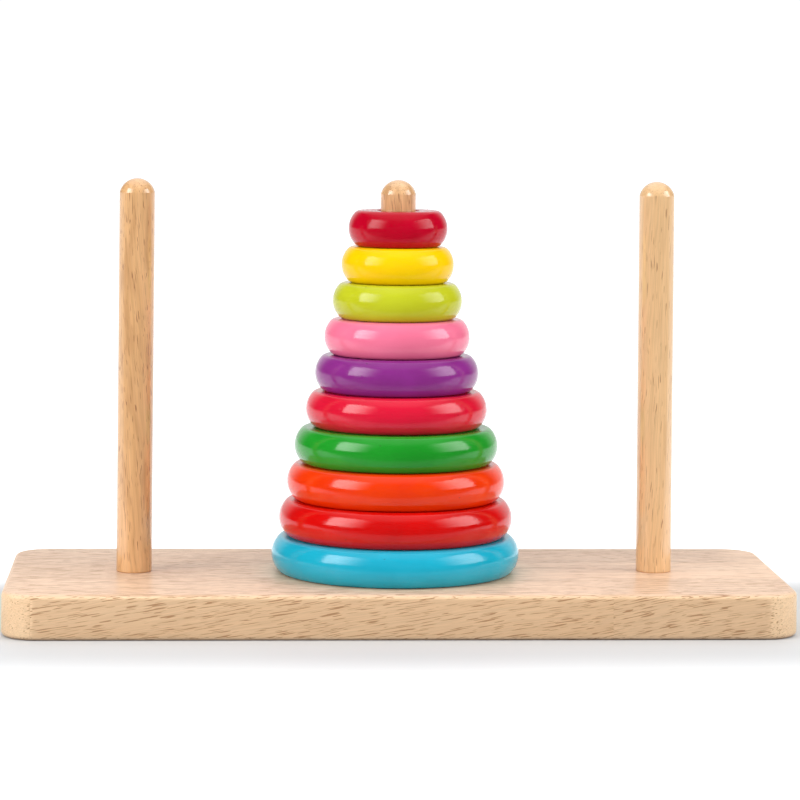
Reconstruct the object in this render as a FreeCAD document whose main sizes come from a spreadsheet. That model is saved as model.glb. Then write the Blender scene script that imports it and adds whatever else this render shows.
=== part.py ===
import FreeCAD, Part
import math
import os

import Sketcher

# A ten-ring tower of Hanoi: a rounded hardwood board, three round-tipped pegs
# glued and screwed into it, and ten painted rings stacked on the middle peg.
# Frame: origin under the middle of the board, +X along the board, +Z up.

Vector = FreeCAD.Vector
Constraint = Sketcher.Constraint

START, END, CENTRE = 1, 2, 3
H_AXIS = -1
V_AXIS = -2

# Driving dimensions in millimetres. Each name is also the alias of its cell.
SIZES = {
    "board_length": 298.5,
    "board_depth": 116.0,
    "board_thickness": 17.0,
    "board_corner_radius": 13.5,
    "board_edge_radius": 2.0,
    "peg_spacing": 101.0,
    "peg_radius": 6.85,
    "peg_tip_height": 168.8,
    "peg_dome_radius": 7.0,
    "peg_shoulder_chamfer": 0.3,
    "tenon_radius": 6.0,
    "tenon_chamfer": 0.8,
    "tenon_length": 11.8,
    "socket_depth": 12.0,
    "glue_gap": 0.05,
    "ring_thickness": 14.0,
    "ring_bore_radius": 8.0,
    "ring_bulge_radius": 9.0,
    "ring_shoulder_radius": 3.0,
    "ring_mouth_radius": 0.7,
    "screw_head_radius": 4.0,
    "screw_head_cone": 2.4,
    "screw_head_rim": 0.3,
    "screw_inset": 0.5,
    "screw_radius": 2.0,
    "screw_length": 30.0,
    "screw_point_length": 4.0,
    "screw_clearance": 0.05,
    "screw_hole_radius": 2.25,
    "recess_length": 4.4,
    "recess_width": 0.9,
    "recess_depth": 1.8,
}

# Rings from the bottom of the stack to the top: colour name and outer radius.
RINGS = (
    ("turquoise", 48.0),
    ("red", 45.2),
    ("orange", 42.2),
    ("green", 39.4),
    ("crimson", 35.1),
    ("purple", 31.7),
    ("pink", 28.2),
    ("lime", 25.1),
    ("yellow", 21.8),
    ("cherry", 19.2),
)

# Side of the board that each peg stands on, as a multiple of the peg spacing.
PEG_PLACES = {"left": -1, "middle": 0, "right": 1}

# An edge of the board's slab no taller than this lies level.
LEVEL_EDGE = 0.01

# A cut has worked once it has taken this share of the volume it should take.
CUT_SHARE = 0.95


def ring_name(index, colour):
    """The name of a ring's node, counted from the bottom of the stack."""
    return "ring_%02d_%s" % (index + 1, colour)


def make_sheet(doc):
    """Fill the spreadsheet with every driving dimension and its alias."""
    sheet = doc.addObject("Spreadsheet::Sheet", "Sizes")
    rows = dict(SIZES)
    for index, (colour, radius) in enumerate(RINGS):
        rows[ring_name(index, colour) + "_radius"] = radius
    for row, (alias, value) in enumerate(rows.items(), start=1):
        sheet.set("A%d" % row, alias)
        sheet.set("B%d" % row, str(value))
        sheet.setAlias("B%d" % row, alias)
    doc.recompute()
    return sheet


def origin_plane(body, role):
    """One of a body's own origin planes, found by its role."""
    for feature in body.Origin.OriginFeatures:
        if feature.Role == role:
            return feature
    raise RuntimeError("no origin plane " + role)


def new_body(doc, name):
    """An empty body whose label names its file."""
    body = doc.addObject("PartDesign::Body", name)
    body.Label = name
    return body


def new_sketch(body, name, plane):
    """An empty sketch on one of the body's origin planes."""
    sketch = body.newObject("Sketcher::SketchObject", name)
    sketch.AttachmentSupport = [(origin_plane(body, plane), "")]
    sketch.MapMode = "FlatFace"
    return sketch


def bind(sketch, constraint, name, formula):
    """Add a dimension to a sketch and bind it to the sheet."""
    number = sketch.addConstraint(constraint)
    sketch.renameConstraint(number, name)
    sketch.setExpression("Constraints." + name, formula)


def line(x1, y1, x2, y2):
    """A straight sketch edge."""
    return Part.LineSegment(Vector(x1, y1, 0), Vector(x2, y2, 0))


def arc(x, y, radius, start, end):
    """A sketch arc about (x, y), anticlockwise between two angles in degrees."""
    circle = Part.Circle(Vector(x, y, 0), Vector(0, 0, 1), radius)
    return Part.ArcOfCircle(circle, math.radians(start), math.radians(end))


def revolve(body, sketch, name):
    """Turn a profile once round the body's upright axis."""
    turn = body.newObject("PartDesign::Revolution", name)
    turn.Profile = sketch
    turn.ReferenceAxis = (sketch, ["V_Axis"])
    turn.Angle = 360.0
    sketch.Visibility = False
    return turn


def polygon(sketch, points):
    """Closed outline of straight edges. Level and upright edges are kept so."""
    first = sketch.GeometryCount
    count = len(points)
    for here, there in zip(points, points[1:] + points[:1]):
        sketch.addGeometry(line(*here, *there), False)
    for step in range(count):
        after = first + (step + 1) % count
        sketch.addConstraint(Constraint("Coincident", first + step, END, after, START))
        (x1, y1), (x2, y2) = points[step], points[(step + 1) % count]
        if y1 == y2:
            sketch.addConstraint(Constraint("Horizontal", first + step))
        elif x1 == x2:
            sketch.addConstraint(Constraint("Vertical", first + step))
    return first


def check_cut(before, after, expected, what):
    """Stop if a cut has taken less than it should."""
    if before - after < CUT_SHARE * expected:
        raise RuntimeError("%s removed only %.1f mm3" % (what, before - after))


def cylinder_volume(radius, height):
    """The volume of a cylinder."""
    return math.pi * radius ** 2 * height


def board_outline(sketch):
    """Rectangle with rounded corners, centred on the origin."""
    half_x = SIZES["board_length"] / 2
    half_y = SIZES["board_depth"] / 2
    turn = SIZES["board_corner_radius"]
    flat_x = half_x - turn
    flat_y = half_y - turn
    edges = (
        line(-flat_x, -half_y, flat_x, -half_y),
        arc(flat_x, -flat_y, turn, 270, 360),
        line(half_x, -flat_y, half_x, flat_y),
        arc(flat_x, flat_y, turn, 0, 90),
        line(flat_x, half_y, -flat_x, half_y),
        arc(-flat_x, flat_y, turn, 90, 180),
        line(-half_x, flat_y, -half_x, -flat_y),
        arc(-flat_x, -flat_y, turn, 180, 270),
    )
    for edge in edges:
        sketch.addGeometry(edge, False)
    count = len(edges)
    for step in range(count):
        sketch.addConstraint(Constraint("Tangent", step, END, (step + 1) % count, START))
    front, right, back, left = 0, 2, 4, 6
    for level in (front, back):
        sketch.addConstraint(Constraint("Horizontal", level))
    for upright in (right, left):
        sketch.addConstraint(Constraint("Vertical", upright))
    for corner in (3, 5, 7):
        sketch.addConstraint(Constraint("Equal", 1, corner))
    bind(sketch, Constraint("Radius", 1, turn), "corner", "Sizes.board_corner_radius")
    bind(sketch, Constraint("DistanceX", left, START, right, START, 2 * half_x),
         "length", "Sizes.board_length")
    bind(sketch, Constraint("DistanceY", front, START, back, START, 2 * half_y),
         "depth", "Sizes.board_depth")
    bind(sketch, Constraint("DistanceX", H_AXIS, START, right, START, half_x),
         "half_length", "Sizes.board_length / 2")
    bind(sketch, Constraint("DistanceY", H_AXIS, START, back, START, half_y),
         "half_depth", "Sizes.board_depth / 2")


def peg_circles(sketch, radius, formula):
    """One circle under each peg."""
    for place, side in PEG_PLACES.items():
        centre = Vector(side * SIZES["peg_spacing"], 0, 0)
        ring = sketch.addGeometry(Part.Circle(centre, Vector(0, 0, 1), radius), False)
        if side == 0:
            sketch.addConstraint(Constraint("Coincident", ring, CENTRE, H_AXIS, START))
        else:
            sketch.addConstraint(Constraint("PointOnObject", ring, CENTRE, H_AXIS))
            bind(sketch, Constraint("DistanceX", H_AXIS, START, ring, CENTRE, centre.x),
                 "place_" + place, "%d * Sizes.peg_spacing" % side)
        if ring == 0:
            bind(sketch, Constraint("Radius", ring, radius), "radius", formula)
        else:
            sketch.addConstraint(Constraint("Equal", 0, ring))


def make_board(doc):
    """The board: sockets from above, countersunk screw holes from below."""
    body = new_body(doc, "base_board")
    outline = new_sketch(body, "board_outline", "XY_Plane")
    board_outline(outline)
    slab = body.newObject("PartDesign::Pad", "board_slab")
    slab.Profile = outline
    slab.setExpression("Length", "Sizes.board_thickness")
    doc.recompute()

    rims = []
    for number, edge in enumerate(slab.Shape.Edges, start=1):
        box = edge.BoundBox
        if box.ZLength < LEVEL_EDGE:
            rims.append("Edge%d" % number)
    rounding = body.newObject("PartDesign::Fillet", "board_round_over")
    rounding.Base = (slab, rims)
    rounding.setExpression("Radius", "Sizes.board_edge_radius")
    doc.recompute()
    whole = rounding.Shape.Volume

    sockets = new_sketch(body, "socket_circles", "XY_Plane")
    sockets.AttachmentOffset = FreeCAD.Placement(
        Vector(0, 0, SIZES["board_thickness"]), FreeCAD.Rotation())
    sockets.setExpression("AttachmentOffset.Base.z", "Sizes.board_thickness")
    socket_radius = SIZES["tenon_radius"] + SIZES["glue_gap"]
    peg_circles(sockets, socket_radius, "Sizes.tenon_radius + Sizes.glue_gap")
    socket_cut = body.newObject("PartDesign::Pocket", "peg_sockets")
    socket_cut.Profile = sockets
    socket_cut.setExpression("Length", "Sizes.socket_depth")
    doc.recompute()
    bored = socket_cut.Shape.Volume
    socket_volume = cylinder_volume(socket_radius, SIZES["socket_depth"])
    check_cut(whole, bored, len(PEG_PLACES) * socket_volume, "peg_sockets")

    holes = new_sketch(body, "screw_circles", "XY_Plane")
    peg_circles(holes, SIZES["screw_hole_radius"], "Sizes.screw_hole_radius")
    clearance = body.newObject("PartDesign::Pocket", "screw_holes")
    clearance.Profile = holes
    clearance.Reversed = True
    clearance.setExpression("Length", "Sizes.board_thickness - Sizes.socket_depth")
    doc.recompute()
    drilled = clearance.Shape.Volume
    web = SIZES["board_thickness"] - SIZES["socket_depth"]
    hole_volume = cylinder_volume(SIZES["screw_hole_radius"], web)
    check_cut(bored, drilled, len(PEG_PLACES) * hole_volume, "screw_holes")

    for place, side in PEG_PLACES.items():
        countersink(doc, body, place, side)
    return body


def countersink(doc, body, place, side):
    """The conical seat that one screw's head pulls against, below the underside."""
    head = SIZES["screw_head_radius"]
    narrow = SIZES["screw_radius"]
    gap = SIZES["screw_clearance"]
    mouth = head + gap
    deep = SIZES["screw_inset"] + SIZES["screw_head_rim"] + SIZES["screw_head_cone"]
    rim = deep - SIZES["screw_head_cone"] * (mouth - narrow) / (head - narrow)
    x = side * SIZES["peg_spacing"]
    before = body.Shape.Volume
    sketch = new_sketch(body, "seat_" + place, "XZ_Plane")
    points = [(x, 0.0), (x + mouth, 0.0), (x + mouth, rim), (x + narrow, deep), (x, deep)]
    first = polygon(sketch, points)
    base, wall, slope, roof, axis = range(first, first + 5)
    sketch.addConstraint(Constraint("PointOnObject", base, START, H_AXIS))
    if side == 0:
        sketch.addConstraint(Constraint("PointOnObject", base, START, V_AXIS))
    else:
        bind(sketch, Constraint("DistanceX", H_AXIS, START, base, START, x),
             "place", "%d * Sizes.peg_spacing" % side)
    bind(sketch, Constraint("DistanceX", base, START, base, END, mouth),
         "mouth", "Sizes.screw_head_radius + Sizes.screw_clearance")
    bind(sketch, Constraint("DistanceY", slope, START, slope, END, deep - rim),
         "slope", "Sizes.screw_head_cone"
         " * (Sizes.screw_head_radius + Sizes.screw_clearance - Sizes.screw_radius)"
         " / (Sizes.screw_head_radius - Sizes.screw_radius)")
    bind(sketch, Constraint("DistanceX", roof, END, roof, START, narrow),
         "narrow", "Sizes.screw_radius")
    bind(sketch, Constraint("DistanceY", axis, END, axis, START, deep),
         "deep", "Sizes.screw_inset + Sizes.screw_head_rim + Sizes.screw_head_cone")
    centre = sketch.addGeometry(line(x, 0, x, deep), True)
    sketch.addConstraint(Constraint("Coincident", centre, START, base, START))
    sketch.addConstraint(Constraint("Coincident", centre, END, axis, START))
    groove = body.newObject("PartDesign::Groove", "countersink_" + place)
    groove.Profile = sketch
    groove.ReferenceAxis = (sketch, ["Axis0"])
    groove.Angle = 360.0
    doc.recompute()
    frustum = math.pi * (deep - rim) / 3 * (mouth ** 2 + mouth * narrow + narrow ** 2)
    already_drilled = cylinder_volume(SIZES["screw_hole_radius"], deep)
    seat = cylinder_volume(mouth, rim) + frustum - already_drilled
    check_cut(before, groove.Shape.Volume, seat, "countersink_" + place)


def make_peg(doc, place, side):
    """One peg: a domed dowel whose shoulder stands on the board, and its tenon below."""
    radius = SIZES["peg_radius"]
    dome = SIZES["peg_dome_radius"]
    bevel_size = SIZES["peg_shoulder_chamfer"]
    tenon = SIZES["tenon_radius"]
    chamfer = SIZES["tenon_chamfer"]
    foot = -SIZES["tenon_length"]
    tall = SIZES["peg_tip_height"] - SIZES["board_thickness"]
    drop = math.sqrt(dome ** 2 - radius ** 2)
    crease = tall - dome + drop
    bore = SIZES["screw_radius"] + SIZES["screw_clearance"]
    tip = (SIZES["screw_inset"] + SIZES["screw_length"] + SIZES["screw_clearance"]
           - SIZES["board_thickness"])
    neck = tip - SIZES["screw_point_length"]
    rise = math.degrees(math.atan2(drop, radius))

    body = new_body(doc, "peg_" + place)
    sketch = new_sketch(body, "peg_profile_" + place, "XZ_Plane")
    points = [(bore, foot), (tenon - chamfer, foot), (tenon, foot + chamfer), (tenon, 0.0),
              (radius - bevel_size, 0.0), (radius, bevel_size), (radius, crease)]
    for here, there in zip(points, points[1:]):
        sketch.addGeometry(line(*here, *there), False)
    sketch.addGeometry(arc(0, tall - dome, dome, rise, 90), False)
    sketch.addGeometry(line(0, tall, 0, tip), False)
    sketch.addGeometry(line(0, tip, bore, neck), False)
    sketch.addGeometry(line(bore, neck, bore, foot), False)
    loop = tuple(range(sketch.GeometryCount))
    sole, tenon_bevel, tenon_wall, shoulder, bevel, side_wall, cap, core, cone, wall = loop
    for here, there in zip(loop, loop[1:] + loop[:1]):
        sketch.addConstraint(Constraint("Coincident", here, END, there, START))
    sketch.addConstraint(Constraint("PointOnObject", shoulder, START, H_AXIS))
    for level in (sole, shoulder):
        sketch.addConstraint(Constraint("Horizontal", level))
    for upright in (tenon_wall, side_wall, core, wall):
        sketch.addConstraint(Constraint("Vertical", upright))
    sketch.addConstraint(Constraint("PointOnObject", core, START, V_AXIS))
    sketch.addConstraint(Constraint("PointOnObject", cap, CENTRE, V_AXIS))
    bind(sketch, Constraint("DistanceX", H_AXIS, START, side_wall, START, radius),
         "radius", "Sizes.peg_radius")
    bind(sketch, Constraint("DistanceX", H_AXIS, START, tenon_wall, START, tenon),
         "tenon", "Sizes.tenon_radius")
    for name, edge, size, formula in (
            ("foot", tenon_bevel, chamfer, "Sizes.tenon_chamfer"),
            ("shoulder", bevel, bevel_size, "Sizes.peg_shoulder_chamfer")):
        bind(sketch, Constraint("DistanceX", edge, START, edge, END, size),
             name + "_chamfer_width", formula)
        bind(sketch, Constraint("DistanceY", edge, START, edge, END, size),
             name + "_chamfer_height", formula)
    bind(sketch, Constraint("DistanceY", sole, START, H_AXIS, START, -foot),
         "tenon_length", "Sizes.tenon_length")
    bind(sketch, Constraint("Radius", cap, dome), "dome", "Sizes.peg_dome_radius")
    bind(sketch, Constraint("DistanceY", H_AXIS, START, core, START, tall),
         "height", "Sizes.peg_tip_height - Sizes.board_thickness")
    bind(sketch, Constraint("DistanceX", H_AXIS, START, wall, END, bore),
         "bore", "Sizes.screw_radius + Sizes.screw_clearance")
    bind(sketch, Constraint("DistanceY", H_AXIS, START, core, END, tip), "bore_tip",
         "Sizes.screw_inset + Sizes.screw_length + Sizes.screw_clearance"
         " - Sizes.board_thickness")
    bind(sketch, Constraint("DistanceY", cone, END, cone, START, tip - neck),
         "point", "Sizes.screw_point_length")
    revolve(body, sketch, "peg_dowel_" + place)
    body.setExpression("Placement.Base.x", "%d * Sizes.peg_spacing" % side)
    body.setExpression("Placement.Base.z", "Sizes.board_thickness")
    return body


def make_screw(doc, place, side):
    """One countersunk wood screw, driven up into a peg's foot."""
    head = SIZES["screw_head_radius"]
    rim = SIZES["screw_head_rim"]
    cone = rim + SIZES["screw_head_cone"]
    shank = SIZES["screw_radius"]
    tall = SIZES["screw_length"]
    point = tall - SIZES["screw_point_length"]

    body = new_body(doc, "screw_" + place)
    sketch = new_sketch(body, "screw_profile_" + place, "XZ_Plane")
    points = [(0.0, 0.0), (head, 0.0), (head, rim), (shank, cone), (shank, point), (0.0, tall)]
    polygon(sketch, points)
    face, edge, slope, stem, tip, axis = range(6)
    sketch.addConstraint(Constraint("Coincident", face, START, H_AXIS, START))
    bind(sketch, Constraint("DistanceX", face, START, face, END, head),
         "head", "Sizes.screw_head_radius")
    bind(sketch, Constraint("DistanceY", edge, START, edge, END, rim),
         "rim", "Sizes.screw_head_rim")
    bind(sketch, Constraint("DistanceY", slope, START, slope, END, cone - rim),
         "cone", "Sizes.screw_head_cone")
    bind(sketch, Constraint("DistanceX", H_AXIS, START, stem, START, shank),
         "shank", "Sizes.screw_radius")
    bind(sketch, Constraint("DistanceY", tip, START, tip, END, tall - point),
         "point", "Sizes.screw_point_length")
    bind(sketch, Constraint("DistanceY", H_AXIS, START, axis, START, tall),
         "length", "Sizes.screw_length")
    turned = revolve(body, sketch, "screw_blank_" + place)
    doc.recompute()
    blank = turned.Shape.Volume

    recess = new_sketch(body, "recess_outline_" + place, "XY_Plane")
    cross_outline(recess)
    cross = body.newObject("PartDesign::Pocket", "cross_recess_" + place)
    cross.Profile = recess
    cross.Reversed = True
    cross.setExpression("Length", "Sizes.recess_depth")
    doc.recompute()
    slot, arm = SIZES["recess_width"], SIZES["recess_length"]
    recess_volume = (2 * arm * slot - slot ** 2) * SIZES["recess_depth"]
    check_cut(blank, cross.Shape.Volume, recess_volume, "cross_recess_" + place)
    body.setExpression("Placement.Base.x", "%d * Sizes.peg_spacing" % side)
    body.setExpression("Placement.Base.z", "Sizes.screw_inset")
    return body


def cross_outline(sketch):
    """The outline of a cross-head driver's recess: twelve straight edges."""
    arm = SIZES["recess_length"] / 2
    half = SIZES["recess_width"] / 2
    points = [(-half, -arm), (half, -arm), (half, -half), (arm, -half), (arm, half),
              (half, half), (half, arm), (-half, arm), (-half, half), (-arm, half),
              (-arm, -half), (-half, -half)]
    polygon(sketch, points)
    foot, right_end, top, left_end = 0, 3, 6, 9
    for end in (right_end, top, left_end):
        sketch.addConstraint(Constraint("Equal", foot, end))
    bind(sketch, Constraint("DistanceX", foot, START, foot, END, 2 * half),
         "width", "Sizes.recess_width")
    bind(sketch, Constraint("DistanceX", left_end, START, right_end, START, 2 * arm),
         "across", "Sizes.recess_length")
    bind(sketch, Constraint("DistanceY", foot, START, top, START, 2 * arm),
         "along", "Sizes.recess_length")
    bind(sketch, Constraint("DistanceX", H_AXIS, START, right_end, START, arm),
         "reach_x", "Sizes.recess_length / 2")
    bind(sketch, Constraint("DistanceY", H_AXIS, START, top, START, arm),
         "reach_y", "Sizes.recess_length / 2")
    bind(sketch, Constraint("DistanceX", H_AXIS, START, foot, END, half),
         "half_x", "Sizes.recess_width / 2")
    bind(sketch, Constraint("DistanceY", H_AXIS, START, right_end, END, half),
         "half_y", "Sizes.recess_width / 2")


def make_ring(doc, index, colour, radius):
    """One ring: flat faces, soft shoulders and a bulged rim."""
    name = ring_name(index, colour)
    thick = SIZES["ring_thickness"]
    bore = SIZES["ring_bore_radius"]
    bulge = SIZES["ring_bulge_radius"]
    shoulder = SIZES["ring_shoulder_radius"]
    mouth = SIZES["ring_mouth_radius"]
    lift = thick / 2 - shoulder
    reach = math.sqrt((bulge - shoulder) ** 2 - lift ** 2)
    inner = radius - bulge + reach
    turn = math.degrees(math.atan2(lift, reach))

    body = new_body(doc, name)
    sketch = new_sketch(body, name + "_profile", "XZ_Plane")
    edges = (
        line(bore + mouth, 0, inner, 0),
        arc(inner, shoulder, shoulder, -90, -turn),
        arc(radius - bulge, thick / 2, bulge, -turn, turn),
        arc(inner, thick - shoulder, shoulder, turn, 90),
        line(inner, thick, bore + mouth, thick),
        arc(bore + mouth, thick - mouth, mouth, 90, 180),
        line(bore, thick - mouth, bore, mouth),
        arc(bore + mouth, mouth, mouth, 180, 270),
    )
    for edge in edges:
        sketch.addGeometry(edge, False)
    count = len(edges)
    for step in range(count):
        sketch.addConstraint(Constraint("Tangent", step, END, (step + 1) % count, START))
    sole, low, rim, high, roof, top_mouth, wall, low_mouth = range(count)
    sketch.addConstraint(Constraint("PointOnObject", sole, START, H_AXIS))
    sketch.addConstraint(Constraint("Horizontal", sole))
    sketch.addConstraint(Constraint("Horizontal", roof))
    sketch.addConstraint(Constraint("Vertical", wall))
    sketch.addConstraint(Constraint("Equal", low, high))
    sketch.addConstraint(Constraint("Equal", top_mouth, low_mouth))
    bind(sketch, Constraint("Radius", low, shoulder), "shoulder",
         "Sizes.ring_shoulder_radius")
    bind(sketch, Constraint("Radius", rim, bulge), "bulge", "Sizes.ring_bulge_radius")
    bind(sketch, Constraint("Radius", top_mouth, mouth), "mouth",
         "Sizes.ring_mouth_radius")
    bind(sketch, Constraint("DistanceY", H_AXIS, START, roof, START, thick),
         "thickness", "Sizes.ring_thickness")
    bind(sketch, Constraint("DistanceY", H_AXIS, START, rim, CENTRE, thick / 2),
         "middle", "Sizes.ring_thickness / 2")
    bind(sketch, Constraint("DistanceX", H_AXIS, START, wall, START, bore),
         "bore", "Sizes.ring_bore_radius")
    bind(sketch, Constraint("DistanceX", H_AXIS, START, rim, CENTRE, radius - bulge),
         "reach", "Sizes.%s_radius - Sizes.ring_bulge_radius" % name)
    revolve(body, sketch, name + "_turning")
    body.setExpression("Placement.Base.z",
                       "Sizes.board_thickness + %d * Sizes.ring_thickness" % index)
    return body


def check(doc, bodies):
    """Stop if anything in the document failed or a solid isn't sound."""
    for item in doc.Objects:
        if "Invalid" in item.State or "Error" in item.State:
            raise RuntimeError("%s is in state %s" % (item.Name, item.State))
    for body in bodies:
        shape = body.Shape
        if shape.isNull() or not shape.isValid():
            raise RuntimeError("%s has no valid shape" % body.Label)
        if len(shape.Solids) != 1:
            raise RuntimeError("%s has %d solids" % (body.Label, len(shape.Solids)))


def main():
    """Build the document, check it and write one STEP file for each piece."""
    doc = FreeCAD.newDocument("tower_of_hanoi")
    make_sheet(doc)
    bodies = [make_board(doc)]
    for place, side in PEG_PLACES.items():
        bodies.append(make_peg(doc, place, side))
        bodies.append(make_screw(doc, place, side))
    for index, (colour, radius) in enumerate(RINGS):
        bodies.append(make_ring(doc, index, colour, radius))
    doc.recompute()
    check(doc, bodies)
    os.makedirs("parts", exist_ok=True)
    for body in bodies:
        body.Shape.exportStep("parts/%s.step" % body.Label)
        box = body.Shape.BoundBox
        print("%-20s volume %9.1f mm3  z %.2f to %.2f" % (
            body.Label, body.Shape.Volume, box.ZMin, box.ZMax))


main()
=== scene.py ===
"""The tower of Hanoi puzzle: its turned rings, pegs, board and screws, dressed and lit.

Everything is in metres in the part's own frame: +X along the board, +Y to the back, +Z up.
"""
import logging
import math
from dataclasses import dataclass
from enum import Enum
from typing import Any, Callable, Iterable, Sequence

import bmesh
import bpy
from mathutils import Matrix, Vector


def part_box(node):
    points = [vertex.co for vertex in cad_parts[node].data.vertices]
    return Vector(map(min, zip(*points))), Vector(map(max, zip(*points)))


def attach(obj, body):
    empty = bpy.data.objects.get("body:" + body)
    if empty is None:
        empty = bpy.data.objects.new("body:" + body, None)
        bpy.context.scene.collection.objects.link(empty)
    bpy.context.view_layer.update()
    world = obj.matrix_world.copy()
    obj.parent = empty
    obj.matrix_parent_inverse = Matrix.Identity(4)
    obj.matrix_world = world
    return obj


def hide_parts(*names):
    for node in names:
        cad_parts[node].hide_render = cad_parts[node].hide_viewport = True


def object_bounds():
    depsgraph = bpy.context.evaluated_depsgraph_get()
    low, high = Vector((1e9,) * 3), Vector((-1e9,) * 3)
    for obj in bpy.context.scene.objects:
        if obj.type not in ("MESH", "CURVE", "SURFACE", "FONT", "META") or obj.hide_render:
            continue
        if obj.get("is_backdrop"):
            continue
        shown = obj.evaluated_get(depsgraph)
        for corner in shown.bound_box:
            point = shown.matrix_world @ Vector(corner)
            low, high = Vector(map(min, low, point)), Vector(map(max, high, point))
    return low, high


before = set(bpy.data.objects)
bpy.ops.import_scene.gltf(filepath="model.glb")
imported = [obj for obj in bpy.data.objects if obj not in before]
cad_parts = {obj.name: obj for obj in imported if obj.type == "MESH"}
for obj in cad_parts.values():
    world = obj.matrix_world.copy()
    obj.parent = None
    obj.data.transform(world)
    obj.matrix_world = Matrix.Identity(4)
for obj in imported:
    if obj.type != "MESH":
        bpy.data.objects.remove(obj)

log = logging.getLogger("tower")

MM = 0.001
Colour = tuple[float, float, float]
Point2 = tuple[float, float]
Point3 = tuple[float, float, float]
Material, Mesh, Thing = bpy.types.Material, bpy.types.Mesh, bpy.types.Object
Node, Socket, Tree = bpy.types.Node, bpy.types.NodeSocket, bpy.types.NodeTree


class Grain(Enum):
    """The axis that the fibres of a wooden piece run along."""

    ALONG_BOARD = "along the board"
    UP_THE_PEG = "up the peg"


class Place(Enum):
    """Where a peg stands on the board."""

    LEFT = "left"
    MIDDLE = "middle"
    RIGHT = "right"


# ---------------- node helpers


class NodeMaker:
    """Adds nodes to a tree and joins them, so that a recipe reads from top to bottom."""

    def __init__(self, tree: Tree) -> None:
        """Start on a tree.

        Args:
            tree: the node tree that receives the nodes.
        """
        self.tree = tree
        self.column = 0

    def add(self, kind: str, inputs: dict | None = None, **settings: Any) -> Node:
        """Add one node.

        Args:
            kind: the node's type name.
            inputs: values or output sockets, by the input's name or number.
            settings: properties to set on the node.

        Returns:
            The new node.
        """
        node = self.tree.nodes.new(kind)
        node.location = (self.column * 180, 0)
        self.column += 1
        for name, value in settings.items():
            setattr(node, name, value)
        for key, value in (inputs or {}).items():
            self.feed(node.inputs[key], value)
        return node

    def feed(self, socket: Socket, value: Any) -> None:
        """Join an output to an input, or set the input's own value."""
        if isinstance(value, Socket):
            self.tree.links.new(value, socket)
        else:
            socket.default_value = value

    def math(self, operation: str, *values: Any, clamp: bool = False) -> Socket:
        """A Math node's result.

        Args:
            operation: the Math node's operation.
            values: numbers or sockets, in the order of its inputs.
            clamp: keep the result between 0 and 1.

        Returns:
            The result socket.
        """
        node = self.add("ShaderNodeMath", dict(enumerate(values)), operation=operation,
                        use_clamp=clamp)
        return node.outputs[0]

    def plus(self, *values: Any) -> Socket:
        """One value added to another."""
        return self.math("ADD", *values)

    def minus(self, *values: Any, clamp: bool = False) -> Socket:
        """One value less another."""
        return self.math("SUBTRACT", *values, clamp=clamp)

    def times(self, *values: Any, clamp: bool = False) -> Socket:
        """One value times another."""
        return self.math("MULTIPLY", *values, clamp=clamp)

    def over(self, *values: Any) -> Socket:
        """One value divided by another."""
        return self.math("DIVIDE", *values)

    def vector(self, operation: str, *values: Any) -> Socket:
        """A Vector Math node's vector result."""
        node = self.add("ShaderNodeVectorMath", dict(enumerate(values)), operation=operation)
        return node.outputs[0]

    def ramp(self, value: Any, low: float, high: float, start: float = 0.0,
             end: float = 1.0) -> Socket:
        """Ease a value from start to end as it goes from low to high."""
        node = self.add("ShaderNodeMapRange",
                        {"Value": value, "From Min": low, "From Max": high,
                         "To Min": start, "To Max": end},
                        interpolation_type="SMOOTHSTEP")
        return node.outputs["Result"]

    def mix(self, factor: Any, first: Any, second: Any, blend: str = "MIX") -> Socket:
        """Mix two colours.

        Args:
            factor: how much of the second colour.
            first: a colour or colour socket.
            second: a colour or colour socket.
            blend: the Mix node's blend mode.

        Returns:
            The mixed colour socket.
        """
        node = self.add("ShaderNodeMix", data_type="RGBA", blend_type=blend)
        colours = [socket for socket in node.inputs if socket.type == "RGBA"]
        self.feed(node.inputs["Factor"], factor)
        self.feed(colours[0], opaque(first))
        self.feed(colours[1], opaque(second))
        return next(socket for socket in node.outputs if socket.type == "RGBA")

    def noise(self, vector: Any, scale: float, detail: float = 2.0, rough: float = 0.5) -> Socket:
        """Smooth noise, about 0.5 on average.

        Args:
            vector: where to read it.
            scale: lumps for each unit of the vector.
            detail: how many finer layers it adds.
            rough: the weight of the finer layers.

        Returns:
            The value socket.
        """
        node = self.add("ShaderNodeTexNoise",
                        {"Vector": vector, "Scale": scale, "Detail": detail,
                         "Roughness": rough})
        return node.outputs[0]

    def stretched(self, place: Any, along: float, across: float, detail: float = 2.0,
                  rough: float = 0.5) -> Socket:
        """Noise drawn out along X.

        Args:
            place: where to read it.
            along: lumps for each metre along X.
            across: lumps for each metre along Y and Z.
            detail: how many finer layers it adds.
            rough: the weight of the finer layers.

        Returns:
            The value socket.
        """
        spread = self.vector("MULTIPLY", place, (along, across, across))
        return self.noise(spread, 1.0, detail, rough)

    def scaled(self, vector: Any, factor: Any) -> Socket:
        """A vector times a number."""
        return self.add("ShaderNodeVectorMath", {0: vector, "Scale": factor},
                        operation="SCALE").outputs[0]

    def spot(self) -> Socket:
        """Where each point lies on the object."""
        return self.add("ShaderNodeTexCoord").outputs["Object"]

    def grey(self, value: Any) -> Socket:
        """A grey of the given brightness."""
        return self.add("ShaderNodeCombineColor", {0: value, 1: value, 2: value}).outputs[0]

    def split(self, vector: Any) -> bpy.types.bpy_prop_collection:
        """A vector's X, Y and Z."""
        return self.add("ShaderNodeSeparateXYZ", {0: vector}).outputs

    def surface(self, shader: Node) -> None:
        """Send a shader to the material's output."""
        self.add("ShaderNodeOutputMaterial", {"Surface": shader.outputs[0]})

    def hand_out(self, out: Any, **results: Any) -> None:
        """Join results to a group's outputs of the same names."""
        for label, value in results.items():
            self.feed(out[label], value)

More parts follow.
